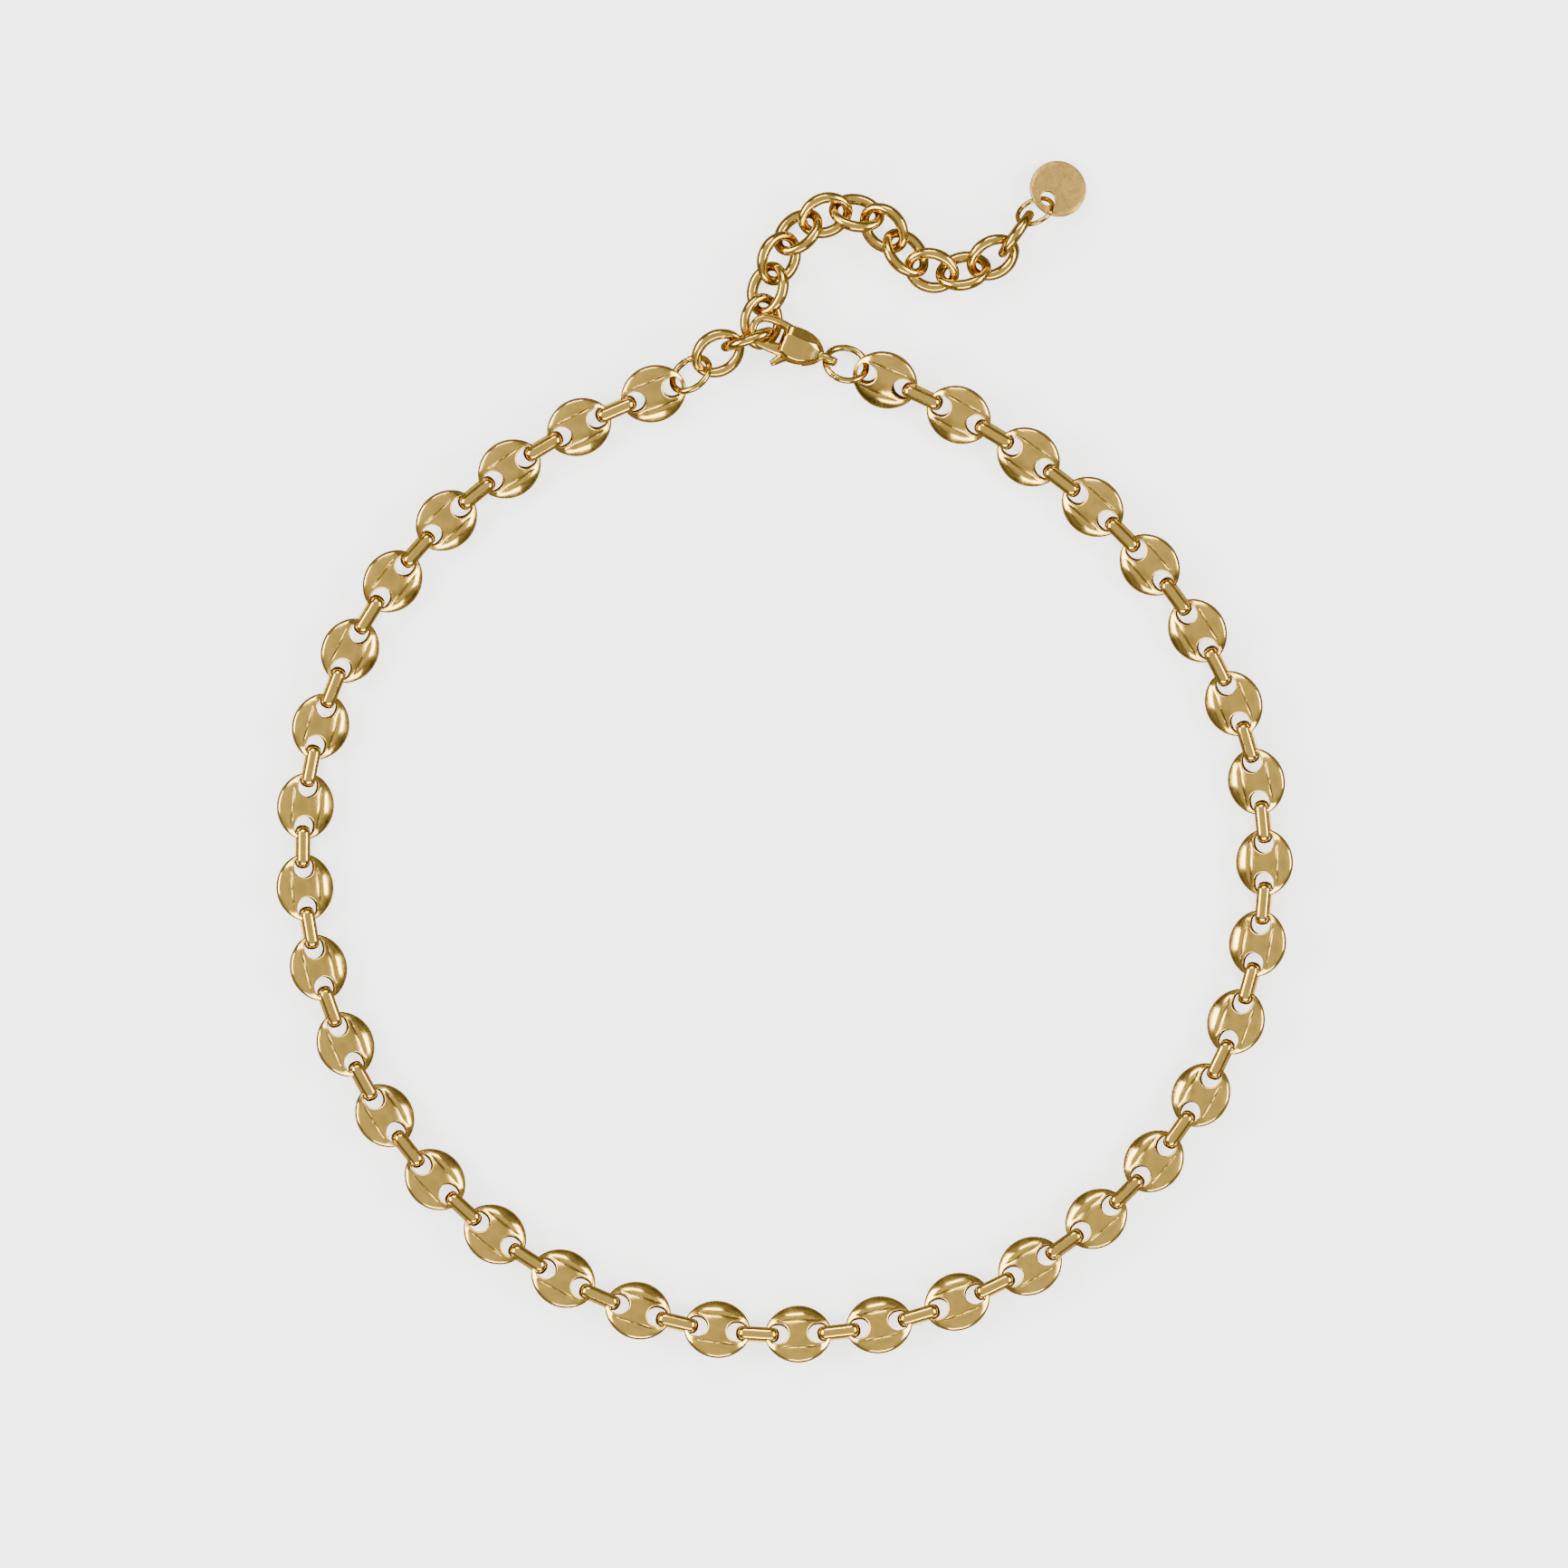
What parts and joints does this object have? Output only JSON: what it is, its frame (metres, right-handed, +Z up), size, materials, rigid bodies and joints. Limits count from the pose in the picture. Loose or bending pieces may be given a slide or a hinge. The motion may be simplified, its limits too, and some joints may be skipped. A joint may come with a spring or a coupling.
{
  "type": "chain necklace",
  "caption": "Chain necklace of puffed mariner links on upright rings, with a sprung lobster clasp and a cable-link extender that ends in a small round tag.",
  "frame": {"origin": "middle of the space that the laid-out necklace covers, on the surface it lies on", "axes": "+Z up from the surface, +Y from the bottom of the necklace to its clasp, +X to the right as it is seen from above"},
  "size_m": [0.131, 0.155, 0.0064],
  "materials": {
    "gold": "polished",
    "tag_gold": "satin",
    "spring_steel": "satin"
  },
  "bodies": {
    "bean_01": {"bean_01": "gold"},
    "bean_02": {"bean_02": "gold"},
    "bean_03": {"bean_03": "gold"},
    "bean_04": {"bean_04": "gold"},
    "bean_05": {"bean_05": "gold"},
    "bean_06": {"bean_06": "gold"},
    "bean_07": {"bean_07": "gold"},
    "bean_08": {"bean_08": "gold"},
    "bean_09": {"bean_09": "gold"},
    "bean_10": {"bean_10": "gold"},
    "bean_11": {"bean_11": "gold"},
    "bean_12": {"bean_12": "gold"},
    "bean_13": {"bean_13": "gold"},
    "bean_14": {"bean_14": "gold"},
    "bean_15": {"bean_15": "gold"},
    "bean_16": {"bean_16": "gold"},
    "bean_17": {"bean_17": "gold"},
    "bean_18": {"bean_18": "gold"},
    "bean_19": {"bean_19": "gold"},
    "bean_20": {"bean_20": "gold"},
    "bean_21": {"bean_21": "gold"},
    "bean_22": {"bean_22": "gold"},
    "bean_23": {"bean_23": "gold"},
    "bean_24": {"bean_24": "gold"},
    "bean_25": {"bean_25": "gold"},
    "bean_26": {"bean_26": "gold"},
    "bean_27": {"bean_27": "gold"},
    "bean_28": {"bean_28": "gold"},
    "bean_29": {"bean_29": "gold"},
    "bean_30": {"bean_30": "gold"},
    "bean_31": {"bean_31": "gold"},
    "bean_32": {"bean_32": "gold"},
    "bean_33": {"bean_33": "gold"},
    "bean_34": {"bean_34": "gold"},
    "bean_35": {"bean_35": "gold"},
    "left_ring": {"left_ring": "gold"},
    "end_link": {"end_link": "gold"},
    "catch_link": {"catch_link": "gold"},
    "extender_01": {"extender_01": "gold"},
    "extender_02": {"extender_02": "gold"},
    "extender_03": {"extender_03": "gold"},
    "extender_04": {"extender_04": "gold"},
    "extender_05": {"extender_05": "gold"},
    "extender_06": {"extender_06": "gold"},
    "extender_07": {"extender_07": "gold"},
    "extender_08": {"extender_08": "gold"},
    "extender_09": {"extender_09": "gold"},
    "extender_10": {"extender_10": "gold"},
    "extender_11": {"extender_11": "gold"},
    "extender_12": {"extender_12": "gold"},
    "tag_ring": {"tag_ring": "gold"},
    "tag": {"tag": "tag_gold"},
    "clasp_ring": {"clasp_ring": "gold"},
    "clasp_body": {"clasp_body": "gold", "clasp_rivet": "gold", "clasp_spring": "spring_steel"},
    "clasp_lever": {"clasp_lever": "gold"}
  },
  "joints": [
    {"name": "bean_17_swing", "type": "hinge", "parent": "bean_18", "child": "bean_17", "pos_m": [-0.00214, -0.07393, 0.00201], "axis": [0, 0, 1], "range_deg": [0, 10]},
    {"name": "bean_16_swing", "type": "hinge", "parent": "bean_17", "child": "bean_16", "pos_m": [-0.01255, -0.07264, 0.00201], "axis": [0, 0, 1], "range_deg": [0, 11]},
    {"name": "bean_15_swing", "type": "hinge", "parent": "bean_16", "child": "bean_15", "pos_m": [-0.02258, -0.06957, 0.00201], "axis": [0, 0, 1], "range_deg": [0, 11]},
    {"name": "bean_14_swing", "type": "hinge", "parent": "bean_15", "child": "bean_14", "pos_m": [-0.03195, -0.06484, 0.00201], "axis": [0, 0, 1], "range_deg": [0, 11]},
    {"name": "bean_13_swing", "type": "hinge", "parent": "bean_14", "child": "bean_13", "pos_m": [-0.04038, -0.0586, 0.00201], "axis": [0, 0, 1], "range_deg": [0, 10]},
    {"name": "bean_12_swing", "type": "hinge", "parent": "bean_13", "child": "bean_12", "pos_m": [-0.04768, -0.05106, 0.00201], "axis": [0, 0, 1], "range_deg": [0, 10]},
    {"name": "bean_11_swing", "type": "hinge", "parent": "bean_12", "child": "bean_11", "pos_m": [-0.05366, -0.04243, 0.00201], "axis": [0, 0, 1], "range_deg": [0, 10]},
    {"name": "bean_10_swing", "type": "hinge", "parent": "bean_11", "child": "bean_10", "pos_m": [-0.05816, -0.03295, 0.00201], "axis": [0, 0, 1], "range_deg": [0, 11]},
    {"name": "bean_09_swing", "type": "hinge", "parent": "bean_10", "child": "bean_09", "pos_m": [-0.06102, -0.02286, 0.00201], "axis": [0, 0, 1], "range_deg": [0, 11]},
    {"name": "bean_08_swing", "type": "hinge", "parent": "bean_09", "child": "bean_08", "pos_m": [-0.06211, -0.01242, 0.00201], "axis": [0, 0, 1], "range_deg": [0, 11]},
    {"name": "bean_07_swing", "type": "hinge", "parent": "bean_08", "child": "bean_07", "pos_m": [-0.06135, -0.00196, 0.00201], "axis": [0, 0, 1], "range_deg": [0, 11]},
    {"name": "bean_06_swing", "type": "hinge", "parent": "bean_07", "child": "bean_06", "pos_m": [-0.0587, 0.00819, 0.00201], "axis": [0, 0, 1], "range_deg": [0, 11]},
    {"name": "bean_05_swing", "type": "hinge", "parent": "bean_06", "child": "bean_05", "pos_m": [-0.05425, 0.01769, 0.00201], "axis": [0, 0, 1], "range_deg": [0, 11]},
    {"name": "bean_04_swing", "type": "hinge", "parent": "bean_05", "child": "bean_04", "pos_m": [-0.04818, 0.02625, 0.00201], "axis": [0, 0, 1], "range_deg": [0, 11]},
    {"name": "bean_03_swing", "type": "hinge", "parent": "bean_04", "child": "bean_03", "pos_m": [-0.04075, 0.03366, 0.00201], "axis": [0, 0, 1], "range_deg": [0, 10]},
    {"name": "bean_02_swing", "type": "hinge", "parent": "bean_03", "child": "bean_02", "pos_m": [-0.03226, 0.03984, 0.00201], "axis": [0, 0, 1], "range_deg": [0, 9]},
    {"name": "bean_01_swing", "type": "hinge", "parent": "bean_02", "child": "bean_01", "pos_m": [-0.023, 0.04478, 0.00201], "axis": [0, 0, 1], "range_deg": [0, 7]},
    {"name": "bean_19_swing", "type": "hinge", "parent": "bean_18", "child": "bean_19", "pos_m": [0.00564, -0.07371, 0.00201], "axis": [0, 0, 1], "range_deg": [-11, 0]},
    {"name": "bean_20_swing", "type": "hinge", "parent": "bean_19", "child": "bean_20", "pos_m": [0.01596, -0.07184, 0.00201], "axis": [0, 0, 1], "range_deg": [-11, 0]},
    {"name": "bean_21_swing", "type": "hinge", "parent": "bean_20", "child": "bean_21", "pos_m": [0.02582, -0.06825, 0.00201], "axis": [0, 0, 1], "range_deg": [-11, 0]},
    {"name": "bean_22_swing", "type": "hinge", "parent": "bean_21", "child": "bean_22", "pos_m": [0.03495, -0.06307, 0.00201], "axis": [0, 0, 1], "range_deg": [-10, 0]},
    {"name": "bean_23_swing", "type": "hinge", "parent": "bean_22", "child": "bean_23", "pos_m": [0.0431, -0.05646, 0.00201], "axis": [0, 0, 1], "range_deg": [-11, 0]},
    {"name": "bean_24_swing", "type": "hinge", "parent": "bean_23", "child": "bean_24", "pos_m": [0.05005, -0.0486, 0.00201], "axis": [0, 0, 1], "range_deg": [-11, 0]},
    {"name": "bean_25_swing", "type": "hinge", "parent": "bean_24", "child": "bean_25", "pos_m": [0.05558, -0.03968, 0.00201], "axis": [0, 0, 1], "range_deg": [-11, 0]},
    {"name": "bean_26_swing", "type": "hinge", "parent": "bean_25", "child": "bean_26", "pos_m": [0.05949, -0.02994, 0.00201], "axis": [0, 0, 1], "range_deg": [-11, 0]},
    {"name": "bean_27_swing", "type": "hinge", "parent": "bean_26", "child": "bean_27", "pos_m": [0.06159, -0.01967, 0.00201], "axis": [0, 0, 1], "range_deg": [-12, 0]},
    {"name": "bean_28_swing", "type": "hinge", "parent": "bean_27", "child": "bean_28", "pos_m": [0.06177, -0.00918, 0.00201], "axis": [0, 0, 1], "range_deg": [-12, 0]},
    {"name": "bean_29_swing", "type": "hinge", "parent": "bean_28", "child": "bean_29", "pos_m": [0.06001, 0.00117, 0.00201], "axis": [0, 0, 1], "range_deg": [-11, 0]},
    {"name": "bean_30_swing", "type": "hinge", "parent": "bean_29", "child": "bean_30", "pos_m": [0.0564, 0.01102, 0.00201], "axis": [0, 0, 1], "range_deg": [-11, 0]},
    {"name": "bean_31_swing", "type": "hinge", "parent": "bean_30", "child": "bean_31", "pos_m": [0.05114, 0.0201, 0.00201], "axis": [0, 0, 1], "range_deg": [-10, 0]},
    {"name": "bean_32_swing", "type": "hinge", "parent": "bean_31", "child": "bean_32", "pos_m": [0.0445, 0.02822, 0.00201], "axis": [0, 0, 1], "range_deg": [-9, 0]},
    {"name": "bean_33_swing", "type": "hinge", "parent": "bean_32", "child": "bean_33", "pos_m": [0.03676, 0.0353, 0.00201], "axis": [0, 0, 1], "range_deg": [-8, 0]},
    {"name": "bean_34_swing", "type": "hinge", "parent": "bean_33", "child": "bean_34", "pos_m": [0.02818, 0.04136, 0.00201], "axis": [0, 0, 1], "range_deg": [-7, 0]},
    {"name": "bean_35_swing", "type": "hinge", "parent": "bean_34", "child": "bean_35", "pos_m": [0.01897, 0.0464, 0.00201], "axis": [0, 0, 1], "range_deg": [-6, 0]},
    {"name": "left_ring_swing", "type": "hinge", "parent": "bean_01", "child": "left_ring", "pos_m": [-0.01327, 0.04871, 0.00201], "axis": [0, 0, 1], "range_deg": [0, 7]},
    {"name": "end_link_swing", "type": "hinge", "parent": "left_ring", "child": "end_link", "pos_m": [-0.01056, 0.05107, 0.00201], "axis": [0, 0, 1], "range_deg": [0, 7]},
    {"name": "catch_link_swing", "type": "hinge", "parent": "end_link", "child": "catch_link", "pos_m": [-0.00682, 0.05356, 0.0023], "axis": [0, 0, 1], "range_deg": [0, 11]},
    {"name": "extender_01_swing", "type": "hinge", "parent": "catch_link", "child": "extender_01", "pos_m": [-0.00329, 0.05452, 0.00205], "axis": [0, 0, 1], "range_deg": [-12, 12]},
    {"name": "extender_02_swing", "type": "hinge", "parent": "extender_01", "child": "extender_02", "pos_m": [-0.0027, 0.05871, 0.00205], "axis": [0, 0, -1], "range_deg": [-12, 12]},
    {"name": "extender_03_swing", "type": "hinge", "parent": "extender_02", "child": "extender_03", "pos_m": [-0.00167, 0.06281, 0.00205], "axis": [0, 0, 1], "range_deg": [-12, 12]},
    {"name": "extender_04_swing", "type": "hinge", "parent": "extender_03", "child": "extender_04", "pos_m": [0.00018, 0.06662, 0.00205], "axis": [0, 0, -1], "range_deg": [-12, 12]},
    {"name": "extender_05_swing", "type": "hinge", "parent": "extender_04", "child": "extender_05", "pos_m": [0.00322, 0.06955, 0.00205], "axis": [0, 0, 1], "range_deg": [-12, 12]},
    {"name": "extender_06_swing", "type": "hinge", "parent": "extender_05", "child": "extender_06", "pos_m": [0.0072, 0.071, 0.00205], "axis": [0, 0, -1], "range_deg": [-12, 12]},
    {"name": "extender_07_swing", "type": "hinge", "parent": "extender_06", "child": "extender_07", "pos_m": [0.01133, 0.07012, 0.00205], "axis": [0, 0, 1], "range_deg": [-12, 12]},
    {"name": "extender_08_swing", "type": "hinge", "parent": "extender_07", "child": "extender_08", "pos_m": [0.01427, 0.06708, 0.00205], "axis": [0, 0, -1], "range_deg": [-12, 12]},
    {"name": "extender_09_swing", "type": "hinge", "parent": "extender_08", "child": "extender_09", "pos_m": [0.01688, 0.06374, 0.00205], "axis": [0, 0, 1], "range_deg": [-12, 12]},
    {"name": "extender_10_swing", "type": "hinge", "parent": "extender_09", "child": "extender_10", "pos_m": [0.02094, 0.06258, 0.00205], "axis": [0, 0, -1], "range_deg": [-12, 12]},
    {"name": "extender_11_swing", "type": "hinge", "parent": "extender_10", "child": "extender_11", "pos_m": [0.02505, 0.0636, 0.00205], "axis": [0, 0, 1], "range_deg": [-12, 12]},
    {"name": "extender_12_swing", "type": "hinge", "parent": "extender_11", "child": "extender_12", "pos_m": [0.02855, 0.06597, 0.00205], "axis": [0, 0, -1], "range_deg": [-10, 10]},
    {"name": "tag_ring_swing", "type": "hinge", "parent": "extender_12", "child": "tag_ring", "pos_m": [0.03092, 0.06947, 0.0028], "axis": [0, 0, 1], "range_deg": [-10, 10]},
    {"name": "tag_swing", "type": "hinge", "parent": "tag_ring", "child": "tag", "pos_m": [0.03387, 0.07242, 0.00175], "axis": [0, 0, -1], "range_deg": [-10, 10]},
    {"name": "clasp_ring_swing", "type": "hinge", "parent": "bean_35", "child": "clasp_ring", "pos_m": [0.00934, 0.05059, 0.00201], "axis": [0, 0, 1], "range_deg": [-7, 0]},
    {"name": "clasp_swing", "type": "hinge", "parent": "clasp_ring", "child": "clasp_body", "pos_m": [0.00529, 0.05182, 0.00214], "axis": [0, 0, 1], "range_deg": [-11, 0]},
    {"name": "lever_swing", "type": "hinge", "parent": "clasp_body", "child": "clasp_lever", "pos_m": [0.00164, 0.0527, 0.0029], "axis": [0.1849, -0.0747, 0.9799], "range_deg": [0, 20], "stiffness_Nm_per_rad": 0.0002}
  ],
  "couplings": [
    {"joint": "bean_16_swing", "follows": "bean_17_swing", "ratio": 0.997},
    {"joint": "bean_15_swing", "follows": "bean_17_swing", "ratio": 0.983},
    {"joint": "bean_14_swing", "follows": "bean_17_swing", "ratio": 0.963},
    {"joint": "bean_13_swing", "follows": "bean_17_swing", "ratio": 0.944},
    {"joint": "bean_12_swing", "follows": "bean_17_swing", "ratio": 0.935},
    {"joint": "bean_11_swing", "follows": "bean_17_swing", "ratio": 0.939},
    {"joint": "bean_10_swing", "follows": "bean_17_swing", "ratio": 0.96},
    {"joint": "bean_09_swing", "follows": "bean_17_swing", "ratio": 0.991},
    {"joint": "bean_08_swing", "follows": "bean_17_swing", "ratio": 1.024},
    {"joint": "bean_07_swing", "follows": "bean_17_swing", "ratio": 1.047},
    {"joint": "bean_06_swing", "follows": "bean_17_swing", "ratio": 1.049},
    {"joint": "bean_05_swing", "follows": "bean_17_swing", "ratio": 1.021},
    {"joint": "bean_04_swing", "follows": "bean_17_swing", "ratio": 0.963},
    {"joint": "bean_03_swing", "follows": "bean_17_swing", "ratio": 0.88},
    {"joint": "bean_02_swing", "follows": "bean_17_swing", "ratio": 0.784},
    {"joint": "bean_01_swing", "follows": "bean_17_swing", "ratio": 0.568},
    {"joint": "bean_19_swing", "follows": "bean_17_swing", "ratio": -0.991},
    {"joint": "bean_20_swing", "follows": "bean_17_swing", "ratio": -0.975},
    {"joint": "bean_21_swing", "follows": "bean_17_swing", "ratio": -0.958},
    {"joint": "bean_22_swing", "follows": "bean_17_swing", "ratio": -0.948},
    {"joint": "bean_23_swing", "follows": "bean_17_swing", "ratio": -0.952},
    {"joint": "bean_24_swing", "follows": "bean_17_swing", "ratio": -0.971},
    {"joint": "bean_25_swing", "follows": "bean_17_swing", "ratio": -1.002},
    {"joint": "bean_26_swing", "follows": "bean_17_swing", "ratio": -1.036},
    {"joint": "bean_27_swing", "follows": "bean_17_swing", "ratio": -1.061},
    {"joint": "bean_28_swing", "follows": "bean_17_swing", "ratio": -1.067},
    {"joint": "bean_29_swing", "follows": "bean_17_swing", "ratio": -1.044},
    {"joint": "bean_30_swing", "follows": "bean_17_swing", "ratio": -0.99},
    {"joint": "bean_31_swing", "follows": "bean_17_swing", "ratio": -0.909},
    {"joint": "bean_32_swing", "follows": "bean_17_swing", "ratio": -0.813},
    {"joint": "bean_33_swing", "follows": "bean_17_swing", "ratio": -0.716},
    {"joint": "bean_34_swing", "follows": "bean_17_swing", "ratio": -0.638},
    {"joint": "bean_35_swing", "follows": "bean_17_swing", "ratio": -0.503},
    {"joint": "left_ring_swing", "follows": "bean_17_swing", "ratio": 0.6},
    {"joint": "end_link_swing", "follows": "bean_17_swing", "ratio": 0.6},
    {"joint": "catch_link_swing", "follows": "bean_17_swing", "ratio": 1},
    {"joint": "clasp_ring_swing", "follows": "bean_17_swing", "ratio": -0.6},
    {"joint": "clasp_swing", "follows": "bean_17_swing", "ratio": -1}
  ]
}
